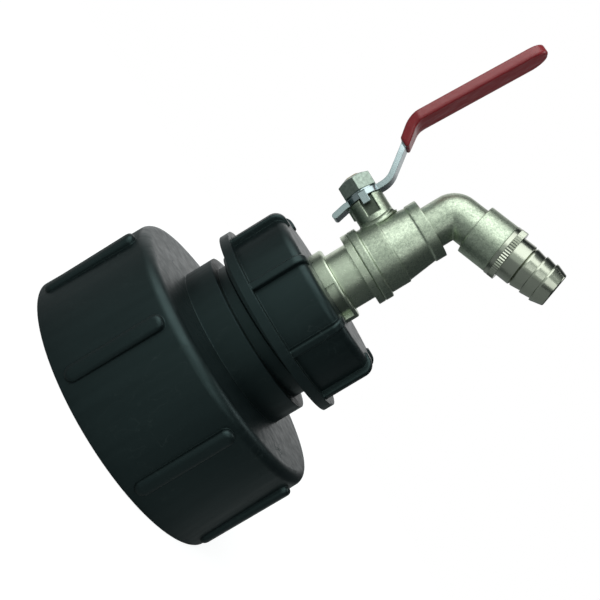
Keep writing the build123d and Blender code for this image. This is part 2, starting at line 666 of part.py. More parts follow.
def side_strip(thickness, first_s, tip_extra):
    """The bent strip seen from the side, as a sketch on the plane through the stem and the valve."""
    rise = math.hypot(LEVER_TIP_S - SECOND_BEND_S, LEVER_TIP_H - SECOND_BEND_H)
    stretch = 1 + tip_extra / rise
    tip_s = SECOND_BEND_S + (LEVER_TIP_S - SECOND_BEND_S) * stretch
    tip_h = SECOND_BEND_H + (LEVER_TIP_H - SECOND_BEND_H) * stretch
    points = [
        (-(lever_mid - LEVER_TAIL_DROP), STEM_HEIGHT - LEVER_TAIL),
        (-lever_mid, STEM_HEIGHT - TAIL_BEND_S),
        (-lever_mid, STEM_HEIGHT + FIRST_BEND_S),
        (-SECOND_BEND_H, STEM_HEIGHT + SECOND_BEND_S),
        (-tip_h, STEM_HEIGHT + tip_s),
    ]
    with BuildSketch(Plane.XZ.offset(-EYE_WIDTH)) as side:
        with BuildLine():
            FilletPolyline(*points, radius=[TAIL_BEND_RADIUS, FIRST_BEND_RADIUS, SECOND_BEND_RADIUS])
            offset(amount=thickness / 2, side=Side.BOTH)
        make_face()
        with Locations((-lever_mid, STEM_HEIGHT + first_s - LEVER_TIP_S / 2)):
            Rectangle(4 * SECOND_BEND_H, LEVER_TIP_S, mode=Mode.SUBTRACT)
    return side.sketch


with BuildPart() as lever:
    extrude(side_strip(LEVER_THICKNESS, -LEVER_TAIL - 2, 0), amount=2 * EYE_WIDTH, dir=(0, -1, 0))
    extrude(
        strip_outline(0, -LEVER_TAIL - 2, 0), amount=2 * SECOND_BEND_H, dir=(-1, 0, 0), mode=Mode.INTERSECT
    )
    lug_inner = BOSS_RADIUS + LUG_SIDE_GAP
    with BuildPart() as lugs:
        with BuildSketch(Plane.YZ.offset(-(lever_low + LEVER_THICKNESS))):
            with Locations((0, STEM_HEIGHT)):
                Rectangle(2 * (lug_inner + LUG_THICKNESS), LUG_WIDTH)
        extrude(amount=LEVER_THICKNESS + LUG_DROP)
        with BuildSketch(Plane.YZ.offset(-lever_low)):
            with Locations((0, STEM_HEIGHT)):
                Rectangle(2 * lug_inner, 2 * LUG_WIDTH)
        extrude(amount=2 * LUG_DROP, mode=Mode.SUBTRACT)
        bend_edges = lugs.edges().filter_by(Axis.Z).group_by(Axis.X)[0]
        fillet(bend_edges, LUG_BEND_ROUND)
    with BuildSketch(stem_plane(lever_low - LEVER_THICKNESS)):
        Circle(STEM_RADIUS + LEVER_EYE_PLAY)
        Rectangle(4 * STEM_RADIUS, STEM_FLATS + 2 * LEVER_EYE_PLAY, mode=Mode.INTERSECT)
    extrude(amount=3 * LEVER_THICKNESS, mode=Mode.SUBTRACT)
save(lever, "lever")

with BuildPart() as lever_grip:
    grip_thickness = LEVER_THICKNESS + 2 * GRIP_WALL
    extrude(side_strip(grip_thickness, GRIP_START_S, GRIP_WALL), amount=2 * EYE_WIDTH, dir=(0, -1, 0))
    extrude(
        strip_outline(GRIP_WALL, 0, GRIP_WALL), amount=2 * SECOND_BEND_H, dir=(-1, 0, 0), mode=Mode.INTERSECT
    )
    fillet(lever_grip.edges(), GRIP_EDGE_ROUND)
    add(lever, mode=Mode.SUBTRACT)
save(lever_grip, "lever_grip")

# Spring washer and hex nut on the stem
lever_top = lever_low + LEVER_THICKNESS
with BuildPart() as lever_washer:
    with BuildSketch(stem_plane(lever_top)):
        Circle(WASHER_RADIUS)
        Circle(STEM_RADIUS + WASHER_HOLE_PLAY, mode=Mode.SUBTRACT)
        with Locations((WASHER_RADIUS, 0)):
            Rectangle(WASHER_RADIUS * 1.2, WASHER_SPLIT, rotation=20, mode=Mode.SUBTRACT)
    extrude(amount=WASHER_THICKNESS)
save(lever_washer, "lever_washer")

nut_bottom = lever_top + WASHER_THICKNESS
hex_corner = HEX_NUT_FLATS / 2 / math.cos(math.radians(30))
with BuildPart() as lever_nut:
    with BuildSketch(stem_plane(nut_bottom)):
        RegularPolygon(HEX_NUT_FLATS / 2, 6, major_radius=False, rotation=30)
        Circle(STEM_RADIUS + STEM_PLAY, mode=Mode.SUBTRACT)
    extrude(amount=HEX_NUT_HEIGHT)
    with BuildPart(mode=Mode.INTERSECT) as nut_dome:
        with BuildSketch(stem_plane(nut_bottom)):
            Circle(hex_corner)
        extrude(amount=HEX_NUT_HEIGHT)
        chamfer(nut_dome.edges().sort_by(Axis.X)[0], HEX_NUT_CHAMFER, 2 * HEX_NUT_CHAMFER)
save(lever_nut, "lever_nut")

# Hose tail, made along +Z from the bend's centre and then turned to the spout's direction
flange_end_d = SPOUT_END + FLANGE_BAND + KNURL_LENGTH
barb_start = flange_end_d + TAIL_PLAIN_LENGTH
spigot_start = SPOUT_END - TAIL_SPIGOT_LENGTH
tail_end = barb_start + BARB_COUNT * BARB_PITCH + TAIL_TIP_LENGTH
with BuildPart() as hose_tail:
    with BuildSketch(Plane.XZ):
        with BuildLine():
            corners = [
                (TAIL_BORE_RADIUS, spigot_start),
                (TAIL_SPIGOT_RADIUS, spigot_start),
                (TAIL_SPIGOT_RADIUS, SPOUT_END),
                (KNURL_RADIUS, SPOUT_END),
                (KNURL_RADIUS, SPOUT_END + FLANGE_BAND),
                (TAIL_PLAIN_RADIUS, SPOUT_END + FLANGE_BAND),
                (TAIL_PLAIN_RADIUS, barb_start - BARB_LAND),
                (BARB_VALLEY_RADIUS, barb_start),
            ]
            for barb in range(BARB_COUNT):
                crest = barb_start + barb * BARB_PITCH
                corners.append((BARB_CREST_RADIUS, crest + BARB_RISE))
                corners.append((BARB_CREST_RADIUS, crest + BARB_RISE + BARB_LAND))
                if barb < BARB_COUNT - 1:
                    corners.append((BARB_VALLEY_RADIUS, crest + BARB_PITCH))
            corners.append((TAIL_TIP_RADIUS, tail_end))
            corners.append((TAIL_BORE_RADIUS, tail_end))
            Polyline(*corners, close=True)
        make_face()
        fillet(vertices().sort_by_distance((TAIL_TIP_RADIUS, tail_end))[0], TAIL_TIP_ROUND)
        chamfer(vertices().sort_by_distance((TAIL_SPIGOT_RADIUS, spigot_start))[0], TAIL_SPIGOT_CHAMFER)
    revolve(axis=Axis.Z)
    with BuildSketch(Plane.XY.offset(SPOUT_END + FLANGE_BAND)):
        with BuildLine():
            teeth = []
            for tooth in range(2 * KNURL_COUNT):
                reach = KNURL_RADIUS - (tooth % 2) * KNURL_DEPTH
                teeth.append(Vector(reach, 0).rotate(Axis.Z, tooth * 180 / KNURL_COUNT))
            Polyline(*teeth, close=True)
        make_face()
        Circle(TAIL_BORE_RADIUS, mode=Mode.SUBTRACT)
    extrude(amount=KNURL_LENGTH)
hose_tail.part = hose_tail.part.moved(spout_plane.location)
save(hose_tail, "hose_tail")

with BuildPart() as hose_tail_washer:
    with BuildSketch(spout_plane.offset(tail_socket_start)):
        Circle(TAIL_SPIGOT_RADIUS - TAIL_WASHER_PLAY)
        Circle(TAIL_BORE_RADIUS + 2 * TAIL_WASHER_PLAY, mode=Mode.SUBTRACT)
    extrude(amount=TAIL_WASHER_THICKNESS)
save(hose_tail_washer, "hose_tail_washer")

with BuildPart() as connector_o_ring:
    with BuildSketch(Plane.XY.offset(body_start)):
        Circle(O_RING_SEAT_RADIUS - O_RING_PLAY)
        Circle(SOCKET_THREAD_RADIUS + FIXED_THREAD_PLAY, mode=Mode.SUBTRACT)
    extrude(amount=O_RING_SEAT_DEPTH)
    fillet(connector_o_ring.edges(), O_RING_ROUND)
save(connector_o_ring, "connector_o_ring")
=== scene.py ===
import math

import bmesh
import bpy
from mathutils import Matrix, Vector


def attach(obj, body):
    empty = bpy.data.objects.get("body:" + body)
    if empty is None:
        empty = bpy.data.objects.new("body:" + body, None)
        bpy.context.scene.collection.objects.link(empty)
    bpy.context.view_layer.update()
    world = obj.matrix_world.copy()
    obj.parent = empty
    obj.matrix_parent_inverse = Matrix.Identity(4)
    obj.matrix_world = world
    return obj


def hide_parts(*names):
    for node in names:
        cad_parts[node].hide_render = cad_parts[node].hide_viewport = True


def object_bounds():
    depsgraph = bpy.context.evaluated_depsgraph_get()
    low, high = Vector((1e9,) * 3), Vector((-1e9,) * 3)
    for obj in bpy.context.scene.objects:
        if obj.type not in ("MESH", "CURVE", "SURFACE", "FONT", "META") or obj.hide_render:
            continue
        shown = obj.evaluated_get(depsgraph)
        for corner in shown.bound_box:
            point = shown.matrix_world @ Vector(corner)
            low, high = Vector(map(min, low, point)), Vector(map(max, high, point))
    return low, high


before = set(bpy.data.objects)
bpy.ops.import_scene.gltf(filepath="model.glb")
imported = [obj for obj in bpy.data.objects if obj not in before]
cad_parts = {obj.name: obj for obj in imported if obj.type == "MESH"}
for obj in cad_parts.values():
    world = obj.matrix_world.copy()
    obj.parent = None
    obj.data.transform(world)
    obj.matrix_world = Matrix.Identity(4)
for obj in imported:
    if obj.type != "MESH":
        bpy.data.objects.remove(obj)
CAD_BOX = [list(corner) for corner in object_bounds()]

bl_info = {
    "name": "Tank tap adapter",
    "version": (1, 0, 0),
    "blender": (4, 5, 0),
    "location": "3D View > Sidebar > Tap adapter",
    "description": "Finishes and stage for a tank adapter with a ball tap",
    "category": "Object",
}

MM = 0.001

# Places on the tap that the CAD model gives, in metres
STEM_HEIGHT = 115.8 * MM
BEND_HEIGHT = 140.9 * MM
SPOUT_ANGLE = math.radians(70.5)
SPOUT_WAY = Vector((math.sin(SPOUT_ANGLE), 0, math.cos(SPOUT_ANGLE)))
BOSS_RADIUS = 6.9 * MM
BARREL_RADIUS = 13.05 * MM
# How much slimmer than the barrel the waist is, on the spout's side of the boss
WAIST_SLIMMER = 0.7 * MM

# The floor of the pocket in the stem boss, in millimetres in the CAD frame
POCKET_FLOOR_Y = (-5.7, -4.9)
POCKET_END_X = -14.15
POCKET_MIDDLE_Z = STEM_HEIGHT / MM + 0.3
POCKET_HALF_WIDTH = 2.7

# The fillet at the boss's foot: the points round it, the shares of its curve from the boss to
# the barrel, and how its two hidden rows are sunk in the casting and drawn in
FILLET_POINTS = 72
FILLET_SHARES = (0.0, 0.12, 0.27, 0.45, 0.64, 0.82, 1.0)
FILLET_SUNK = 0.5 * MM
FILLET_DRAWN_IN = 0.97

# The reducer's side as the CAD model has it, in millimetres and degrees
CAP_RADIUS = 56.4
CAP_SLOPE = math.tan(math.radians(1.7))
CAP_WALL_INSIDE = 53.0
CAP_SHOULDER = 40.7
RIB_PHASE = 35.0
RIB_STEP = 45.0
RIB_REACH = 58.13
RIB_SLOPE = math.tan(math.radians(0.85))
# The photograph's ribs are wider, with round ends, and stay proud to their tops. The core of
# each is widened, and the wall beside it gives way up to RIB_BLEND degrees off its middle
RIB_CORE = 2.4
RIB_BLEND = 11.0
RIB_WIDEN = 1.4
RIB_NEW_REACH = 58.05
# Heights on the ribs, and how far up each of them moves
RIB_LENGTHEN = (
    (0.9, 0.0),
    (2.6, -0.84),
    (4.7, 0.0),
    (20.0, 0.0),
    (37.3, -1.0),
    (39.4, -0.16),
    (40.6, 0.0),
)
# The share of the CAD box that the moulding may fill
BOX_SHARE = 0.9999
# How far from a corner its surface is felt, to turn the corner's normal
NORMAL_REACH = 0.02 * MM

# The photograph's camera, fitted to eight circles on the valve's axis
CAMERA_AZIMUTH = math.radians(10.5)
CAMERA_ELEVATION = math.radians(5.0)
CAMERA_ROLL = math.radians(58.8)
CAMERA_DISTANCE = 351.2 * MM
CAMERA_TARGET_SIDE = -2.19 * MM
CAMERA_TARGET_HEIGHT = 76.17 * MM
CAMERA_LENS = 57.0
CAMERA_SENSOR = 36.0
CAMERA_NEAREST = 10 * MM

# The stage. The glow is how bright the camera sees the floor's own white
FLOOR_RADIUS = 600 * MM
FLOOR_SEGMENTS = 96
FLOOR_DROP = 0.15 * MM
FLOOR_GLOW = 0.84
LAMP_AIM = Vector((0, 0, 85 * MM))
# The room in reflections, from its dim side to its bright one, and the light that it gives
ROOM_DIM = "#353a3b"
ROOM_BRIGHT = "#dbe3de"
ROOM_LIGHT = "#bcc1c0"
WHITE = (1.0, 1.0, 1.0, 1.0)

# The colour sockets of Blender's Mix node share their names with others, so they go by number
MIX_FACTOR, MIX_A, MIX_B = 0, 6, 7
MIX_RESULT = 2


def linear(hex_colour, alpha=True):
    """Turns an sRGB hex colour into the linear values that Blender's sockets take."""
    parts = [int(hex_colour[i:i + 2], 16) / 255 for i in (1, 3, 5)]
    values = [p / 12.92 if p <= 0.04045 else ((p + 0.055) / 1.055) ** 2.4 for p in parts]
    return values + [1.0] if alpha else values


def toned(colour, times=1.0, plus=0.0):
    """A linear colour made paler or darker, as the four values that a socket takes."""
    return [min(1.0, c * times + plus) for c in colour] + [1.0]


def join(tree, node, inputs):
    """Sets or links a node's inputs. A node given for one stands for its first output."""
    for key, value in inputs.items():
        if isinstance(value, bpy.types.Node):
            value = value.outputs[0]
        if isinstance(value, bpy.types.NodeSocket):
            tree.links.new(value, node.inputs[key])
        else:
            node.inputs[key].default_value = value


def put(tree, kind, inputs=None, **settings):
    """Adds a node with its settings, and sets or links its inputs."""
    made = tree.nodes.new(kind)
    for key, value in settings.items():
        setattr(made, key, value)
    join(tree, made, inputs or {})
    return made


def colour_prop(name, description, hex_colour):
    """A property that holds a colour, given here in sRGB."""
    return bpy.props.FloatVectorProperty(
        name=name,
        description=description,
        default=linear(hex_colour, False),
        subtype="COLOR",
        size=3,
        min=0,
        max=1,
    )


def length_prop(name, description, size):
    """A property that holds a length, given here in millimetres."""
    return bpy.props.FloatProperty(
        name=name,
        description=description,
        default=size * MM,
        unit="LENGTH",
        precision=5,
        min=0.01 * MM,
    )


class TapAdapterColours(bpy.types.PropertyGroup):
    black: colour_prop("Black moulding", "Polypropylene of the reducer and the nut", "#060b0c")
    # Also the colour of the painted highlight on the mouldings' edges
    black_dust_and_edge_highlight: colour_prop("Dust on the black", "Fine dust and scuffs on the mouldings", "#6f7a78")
    rubber: colour_prop("Rubber", "Gaskets and O rings", "#15181a")
    nickel: colour_prop("Cast nickel", "Nickel plate on the cast brass, clean", "#c8d4bf")
    # Its darkest tone is also the painted shade on the floor of the boss pocket
    nickel_dark: colour_prop("Cast nickel, dull", "The same plate, darker blotches", "#8b9888")
    bright_nickel: colour_prop("Polished nickel", "Plate on the turned hose tail", "#abb0a2")
    brass: colour_prop("Bare brass", "Brass with no plate, on the stem", "#a09468")
    zinc: colour_prop("Bright zinc", "Plate on the steel lever and its washer", "#aab9bc")
    nut: colour_prop("Nut", "Duller plate on the lever's nut", "#94a298")
    vinyl: colour_prop("Grip", "Dipped vinyl on the lever", "#7d1019")
    ptfe: colour_prop("Seats", "Ball seats and thrust washer", "#e8e8e2")
    floor: colour_prop("Floor", "Plain floor, before its own glow is added", "#8f9292")


class TapAdapterSizes(bpy.types.PropertyGroup):
    moulding_grain: length_prop("Moulding grain", "Width of the mouldings' fine texture", 0.45)
    casting_grain: length_prop("Casting grain", "Width of the cast body's sand texture", 0.42)
    turning_pitch: length_prop("Turning pitch", "Distance between the lathe's tool marks", 0.3)
    sheet_streak: length_prop("Rolling streak", "Width of the lever's rolling streaks", 0.35)
    vinyl_ripple: length_prop("Vinyl ripple", "Width of the ripples in the dipped grip", 5.0)
    casting_fillet: length_prop("Boss fillet", "Cast fillet at the foot of the stem boss", 1.1)


def millimetres(tree):
    """The piece's own coordinates, which are those of the CAD frame, in millimetres.

    A pattern's scale is then one over its width in millimetres."""
    place = put(tree, "ShaderNodeTexCoord")
    return put(
        tree,
        "ShaderNodeVectorMath",
        {0: place.outputs["Object"], "Scale": 1 / MM},
        operation="SCALE",
    )


def seen_directly(tree):
    """One for what the camera sees itself or through something, and nought otherwise."""
    light = put(tree, "ShaderNodeLightPath")
    return put(
        tree,
        "ShaderNodeMath",
        {0: light.outputs["Is Camera Ray"], 1: light.outputs["Is Transmission Ray"]},
        operation="MAXIMUM",
    )


def new_finish(name):
    """An empty material with its output and shader joined, and the place on the piece."""
    made = bpy.data.materials.new(name)
    made.use_nodes = True
    tree = made.node_tree
    tree.nodes.clear()
    shader = put(tree, "ShaderNodeBsdfPrincipled")
    put(tree, "ShaderNodeOutputMaterial", {"Surface": shader})
    return made, tree, shader, millimetres(tree)


def finish_nodes(material, *nodes):
    """Gives the CAD nodes of these names this material in each of their slots."""
    for node in nodes:
        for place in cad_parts[node].material_slots:
            place.material = material


def black_polypropylene(colours, sizes):
    """Polypropylene, injection moulded in a lightly textured tool.

    It is a deep green-black with a satin sheen, a fine orange peel, faint flow streaks along
    the draw, hairline scuffs, and edges painted paler, as handling wear and a painted highlight."""
    made, tree, shader, place = new_finish("polypropylene_black_moulded")
    peel = put(
        tree,
        "ShaderNodeTexNoise",
        {"Vector": place, "Scale": MM / sizes.moulding_grain, "Detail": 3.0, "Roughness": 0.55},
    )
    # Flow streaks are about 3 mm wide and run along the draw
    drawn = put(
        tree, "ShaderNodeVectorMath", {0: place, 1: (0.34, 0.34, 0.03)}, operation="MULTIPLY"
    )
    streaks = put(tree, "ShaderNodeTexNoise", {"Vector": drawn, "Scale": 1.0, "Detail": 4.0})
    # Cloudy patches, 25 mm wide, where the skin cooled at another rate
    clouds = put(tree, "ShaderNodeTexNoise", {"Vector": place, "Scale": 1 / 25, "Detail": 2.0})
    # A scuff is where a noise, stretched to 6 to 20 mm, crosses its middle value, which draws
    # a hairline
    scuff_place = put(
        tree, "ShaderNodeVectorMath", {0: place, 1: (0.16, 0.05, 0.09)}, operation="MULTIPLY"
    )
    scuff_noise = put(
        tree,
        "ShaderNodeTexNoise",
        {"Vector": scuff_place, "Scale": 1.0, "Detail": 2.0, "Distortion": 0.4},
    )
    off_middle = put(tree, "ShaderNodeMath", {0: scuff_noise, 1: 0.5}, operation="SUBTRACT")
    distance = put(tree, "ShaderNodeMath", {0: off_middle}, operation="ABSOLUTE")
    hairline = put(
        tree,
        "ShaderNodeMapRange",
        {"Value": distance, "From Max": 0.006, "To Min": 1.0, "To Max": 0.0},
    )
    patch = put(
        tree,
        "ShaderNodeMapRange",
        {"Value": clouds, "From Min": 0.48, "From Max": 0.62, "To Max": 0.35},
    )
    scuffs = put(tree, "ShaderNodeMath", {0: hairline, 1: patch}, operation="MULTIPLY")
    # Dust specks, one in each 4 mm cell and 0.3 mm across
    cells = put(tree, "ShaderNodeTexVoronoi", {"Vector": place, "Scale": 1 / 4, "Randomness": 1.0})
    specks = put(
        tree,
        "ShaderNodeMapRange",
        {"Value": cells, "From Min": 0.02, "From Max": 0.045, "To Min": 0.45, "To Max": 0.0},
    )
    # The Bevel normal rounds the edges. Where it turns off the true normal, the edges are painted
    # paler, partly as wear from handling and partly as a painted highlight
    round_edge = put(tree, "ShaderNodeBevel", {"Radius": 0.5 * MM}, samples=4)
    shape = put(tree, "ShaderNodeNewGeometry")
    facing = put(
        tree,
        "ShaderNodeVectorMath",
        {0: round_edge, 1: shape.outputs["Normal"]},
        operation="DOT_PRODUCT",
    )
    edge = put(
        tree,
        "ShaderNodeMapRange",
        {"Value": facing.outputs["Value"], "From Min": 0.985, "From Max": 0.8, "To Max": 0.08},
    )
    marks = put(tree, "ShaderNodeMath", {0: scuffs, 1: specks}, operation="MAXIMUM")
    wear_and_edge_highlight = put(tree, "ShaderNodeMath", {0: marks, 1: edge}, operation="MAXIMUM")
    body = put(
        tree,
        "ShaderNodeMix",
        {MIX_FACTOR: streaks, MIX_A: toned(colours.black), MIX_B: toned(colours.black, 1.5)},
        data_type="RGBA",
    )
    # Dust, scuffs and the painted edge highlight pale the colour here
    dust_and_edge_highlight = put(
        tree,
        "ShaderNodeMix",
        {
            MIX_FACTOR: wear_and_edge_highlight,
            MIX_A: body.outputs[MIX_RESULT],
            MIX_B: toned(colours.black_dust_and_edge_highlight, 0.25),
        },
        data_type="RGBA",
    )
    sheen = put(
        tree,
        "ShaderNodeMapRange",
        {"Value": streaks, "From Min": 0.3, "From Max": 0.7, "To Min": 0.34, "To Max": 0.46},
    )
    rough = put(tree, "ShaderNodeMath", {0: sheen, 1: marks}, operation="ADD")
    relief = put(
        tree,
        "ShaderNodeBump",
        {"Height": peel, "Strength": 0.3, "Distance": 0.03 * MM, "Normal": round_edge},
    )
    waves = put(
        tree,
        "ShaderNodeBump",
        {"Height": streaks, "Strength": 0.2, "Distance": 0.08 * MM, "Normal": relief},
    )
    join(
        tree,
        shader,
        {
            "Base Color": dust_and_edge_highlight.outputs[MIX_RESULT],
            "Roughness": rough,
            "Normal": waves,
            "IOR": 1.49,
            # The sheen of the carbon-filled skin is a cold green-grey
            "Specular Tint": linear("#d4ffff"),
        },
    )
    return made


def black_rubber(colours):
    """EPDM rubber, moulded: dead matt and black, with a fine bloom."""
    made, tree, shader, place = new_finish("epdm_rubber_moulded")
    # Bloom in 2 mm patches over a 0.3 mm tooth
    bloom = put(tree, "ShaderNodeTexNoise", {"Vector": place, "Scale": 1 / 2, "Detail": 3.0})
    tooth = put(tree, "ShaderNodeTexNoise", {"Vector": place, "Scale": 3.3, "Detail": 2.0})
    skin = put(
        tree,
        "ShaderNodeMix",
        {MIX_FACTOR: bloom, MIX_A: toned(colours.rubber), MIX_B: toned(colours.rubber, 2.2)},
        data_type="RGBA",
    )
    relief = put(
        tree, "ShaderNodeBump", {"Height": tooth, "Strength": 0.4, "Distance": 0.03 * MM}
    )
    join(
        tree,
        shader,
        {
            "Base Color": skin.outputs[MIX_RESULT],
            "Normal": relief,
            "Roughness": 0.7,
            "IOR": 1.52,
        },
    )
    return made


def in_boss_pocket(tree, place):
    """One on the floor of the pocket in the stem boss, and nought elsewhere."""
    apart = put(tree, "ShaderNodeSeparateXYZ", {0: place})
    x, y, z = (apart.outputs[axis] for axis in "XYZ")
    low, high = POCKET_FLOOR_Y
    inside = put(tree, "ShaderNodeMath", {0: y, 1: high}, operation="LESS_THAN")
    floor_only = put(tree, "ShaderNodeMath", {0: y, 1: low}, operation="GREATER_THAN")
    above = put(tree, "ShaderNodeMath", {0: x, 1: POCKET_END_X}, operation="LESS_THAN")
    near = put(
        tree,
        "ShaderNodeMath",
        {0: z, 1: POCKET_MIDDLE_Z, 2: POCKET_HALF_WIDTH},
        operation="COMPARE",
    )
    one = put(tree, "ShaderNodeMath", {0: inside, 1: floor_only}, operation="MULTIPLY")
    two = put(tree, "ShaderNodeMath", {0: above, 1: near}, operation="MULTIPLY")
    return put(tree, "ShaderNodeMath", {0: one, 1: two}, operation="MULTIPLY")


def cast_nickel(colours, sizes):
    """Nickel plate over sand-cast brass.

    The plate follows the sand, so it is a satin grey-green with a fine grain, in paler and
    duller patches. Painted shade darkens the steps and corners, and the floor of the boss pocket is
    painted near black as shade."""
    made, tree, shader, place = new_finish("nickel_over_sand_cast_brass")
    sand = put(
        tree,
        "ShaderNodeTexNoise",
        {"Vector": place, "Scale": MM / sizes.casting_grain, "Detail": 4.0, "Roughness": 0.6},
    )
    # Blotches of plate, 1.2 mm wide, broken up by the sand's own grain
    blotch = put(
        tree,
        "ShaderNodeTexNoise",
        {"Vector": place, "Scale": 0.85, "Detail": 6.0, "Roughness": 0.7, "Distortion": 0.3},
    )
    mixed = put(tree, "ShaderNodeMath", {0: blotch, 1: sand}, operation="ADD")
    blend = put(
        tree, "ShaderNodeMapRange", {"Value": mixed, "From Min": 0.72, "From Max": 1.2}
    )
    plate = put(
        tree,
        "ShaderNodeMix",
        {MIX_FACTOR: blend, MIX_A: toned(colours.nickel_dark), MIX_B: toned(colours.nickel)},
        data_type="RGBA",
    )
    # Painted shade in the steps and corners: the colour is darkened where the casting is occluded
    corner = put(
        tree,
        "ShaderNodeAmbientOcclusion",
        {"Distance": 1.6 * MM},
        samples=6,
        only_local=True,
    )
    painted_corner_shade = put(
        tree,
        "ShaderNodeMapRange",
        {"Value": corner.outputs["AO"], "From Min": 0.3, "From Max": 0.85, "To Min": 0.5},
    )
    # Painted shade: the plate's colour scaled down in the corners
    dull = put(
        tree,
        "ShaderNodeVectorMath",
        {0: plate.outputs[MIX_RESULT], "Scale": painted_corner_shade},
        operation="SCALE",
    )
    # Painted shade: the floor of the pocket is painted near black, for the shade in the recess
    pocket_shaded = put(
        tree,
        "ShaderNodeMix",
        {
            MIX_FACTOR: in_boss_pocket(tree, place),
            MIX_A: dull,
            MIX_B: toned(colours.nickel_dark, 0.3),
        },
        data_type="RGBA",
    )
    rough = put(
        tree,
        "ShaderNodeMapRange",
        {"Value": mixed, "From Min": 0.7, "From Max": 1.3, "To Min": 0.44, "To Max": 0.3},
    )
    round_edge = put(tree, "ShaderNodeBevel", {"Radius": 0.9 * MM}, samples=6)
    skin = put(
        tree,
        "ShaderNodeBump",
        {"Height": sand, "Strength": 0.5, "Distance": 0.08 * MM, "Normal": round_edge},
    )
    # The mould's own waviness, under 0.2 mm deep
    uneven = put(
        tree,
        "ShaderNodeBump",
        {"Height": blotch, "Strength": 0.3, "Distance": 0.14 * MM, "Normal": skin},
    )
    join(
        tree,
        shader,
        {
            "Base Color": pocket_shaded.outputs[MIX_RESULT],
            "Roughness": rough,
            "Normal": uneven,
            "Metallic": 1.0,
        },
    )
    return made


def along(tree, place, way, origin):
    """How far a place lies along a direction from an origin, in millimetres."""
    offset = put(
        tree,
        "ShaderNodeVectorMath",
        {0: place, 1: [c / MM for c in origin]},
        operation="SUBTRACT",
    )
    return put(
        tree, "ShaderNodeVectorMath", {0: offset, 1: tuple(way)}, operation="DOT_PRODUCT"
    ).outputs["Value"]


def turned_metal(name, colour, sizes, roughness, axis, ring_depth, etched):
    """Metal turned on a lathe, about an axis that is given as its direction and a point of it.

    Fine tool rings run round the axis and draw the highlight into a band along it. A plated
    piece that was etched first is also a little mottled."""
    made, tree, shader, place = new_finish(name)
    smooth, dull = roughness
    travel = along(tree, place, *axis)
    # The real rings are under 0.1 mm apart, so they are drawn coarser to show at all
    phase = put(
        tree,
        "ShaderNodeMath",
        {0: travel, 1: math.tau * MM / sizes.turning_pitch},
        operation="MULTIPLY",
    )
    ring = put(tree, "ShaderNodeMath", {0: phase}, operation="SINE")
    # They are deeper and shallower in turn, over stretches of about 0.6 mm
    uneven_place = put(tree, "ShaderNodeCombineXYZ", {0: travel})
    uneven = put(
        tree, "ShaderNodeTexNoise", {"Vector": uneven_place, "Scale": 1.7, "Detail": 6.0}
    )
    height = put(tree, "ShaderNodeMath", {0: ring, 1: uneven}, operation="MULTIPLY")
    # Etch and handling marks, 1.4 mm wide, over a 0.4 mm tooth
    mottle = put(
        tree,
        "ShaderNodeTexNoise",
        {"Vector": place, "Scale": 0.7, "Detail": 6.0, "Roughness": 0.65},
    )
    fine = put(tree, "ShaderNodeTexNoise", {"Vector": place, "Scale": 2.8, "Detail": 3.0})
    tone = put(
        tree,
        "ShaderNodeMapRange",
        {"Value": mottle, "From Min": 0.35, "From Max": 0.65, "To Min": 1.0 - 0.35 * etched},
    )
    shade = put(
        tree, "ShaderNodeVectorMath", {0: tuple(colour), "Scale": tone}, operation="SCALE"
    )
    rough = put(
        tree,
        "ShaderNodeMapRange",
        {"Value": mottle, "From Min": 0.3, "From Max": 0.7, "To Min": dull, "To Max": smooth},
    )
    round_edge = put(tree, "ShaderNodeBevel", {"Radius": 0.2 * MM}, samples=4)
    rings = put(
        tree,
        "ShaderNodeBump",
        {"Height": height, "Strength": 0.5, "Distance": ring_depth, "Normal": round_edge},
    )
    etch = put(
        tree,
        "ShaderNodeBump",
        {
            "Height": fine,
            "Strength": 0.1 + 0.4 * etched,
            "Distance": 0.05 * MM,
            "Normal": rings,
        },
    )
    join(
        tree,
        shader,
        {"Base Color": shade, "Roughness": rough, "Normal": etch, "Metallic": 1.0},
    )
    return made


def zinc_on_rolled_steel(colours, sizes):
    """Bright zinc plate on rolled steel strip: blue-white with clear but soft reflections,
    rolling streaks along the strip, small pits and a few rubs."""
    made, tree, shader, place = new_finish("bright_zinc_on_rolled_steel")
    # The streaks are 8 mm long
    drawn = put(
        tree,
        "ShaderNodeVectorMath",
        {0: place, 1: (0.12, MM / sizes.sheet_streak, 0.12)},
        operation="MULTIPLY",
    )
    streaks = put(tree, "ShaderNodeTexNoise", {"Vector": drawn, "Scale": 1.0, "Detail": 4.0})
    # Rubs are about 4 mm wide, and pits 0.3 mm
    rubs = put(
        tree,
        "ShaderNodeTexNoise",
        {"Vector": place, "Scale": 1 / 4, "Detail": 5.0, "Distortion": 0.6},
    )
    pits = put(tree, "ShaderNodeTexNoise", {"Vector": place, "Scale": 3.0, "Detail": 2.0})
    tone = put(
        tree,
        "ShaderNodeMapRange",
        {"Value": rubs, "From Min": 0.35, "From Max": 0.65, "To Min": 0.88},
    )
    shade = put(
        tree, "ShaderNodeVectorMath", {0: tuple(colours.zinc), "Scale": tone}, operation="SCALE"
    )
    rough = put(
        tree,
        "ShaderNodeMapRange",
        {"Value": rubs, "From Min": 0.3, "From Max": 0.7, "To Min": 0.2, "To Max": 0.1},
    )
    round_edge = put(tree, "ShaderNodeBevel", {"Radius": 0.35 * MM}, samples=4)
    rolled = put(
        tree,
        "ShaderNodeBump",
        {"Height": streaks, "Strength": 0.25, "Distance": 0.04 * MM, "Normal": round_edge},
    )
    pitted = put(
        tree,
        "ShaderNodeBump",
        {"Height": pits, "Strength": 0.2, "Distance": 0.03 * MM, "Normal": rolled},
    )
    join(
        tree,
        shader,
        {"Base Color": shade, "Roughness": rough, "Normal": pitted, "Metallic": 1.0},
    )
    return made


